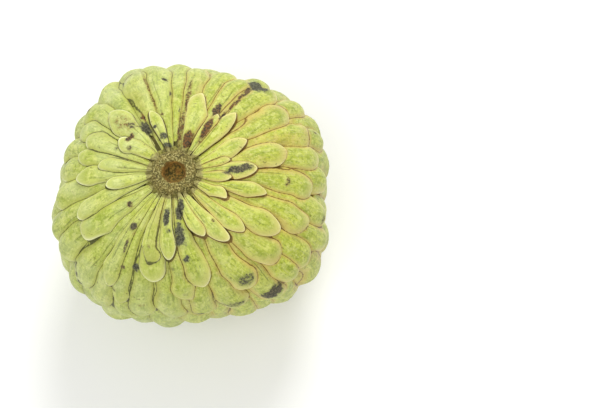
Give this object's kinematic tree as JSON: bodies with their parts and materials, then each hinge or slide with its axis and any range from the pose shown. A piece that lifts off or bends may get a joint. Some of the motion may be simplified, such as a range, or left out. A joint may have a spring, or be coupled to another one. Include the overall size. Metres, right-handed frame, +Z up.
{
  "type": "custard apple",
  "caption": "Whole custard apple: round, slightly heart-shaped fruit of overlapping yellow-green scales with a corky stem scar on top, standing on a flat spot.",
  "frame": {"origin": "middle of the flat resting spot at the blossom end", "axes": "+Z up from the resting spot to the stem end; +X along the widest width, away from the side that the stem scar leans to"},
  "size_m": [0.0898, 0.0847, 0.0808],
  "materials": {
    "skin": "waxy, semi-matte yellow-green rind with pale scale rims and brown flecks"
  },
  "bodies": {
    "root": {"custard_apple": "skin"}
  },
  "joints": []
}
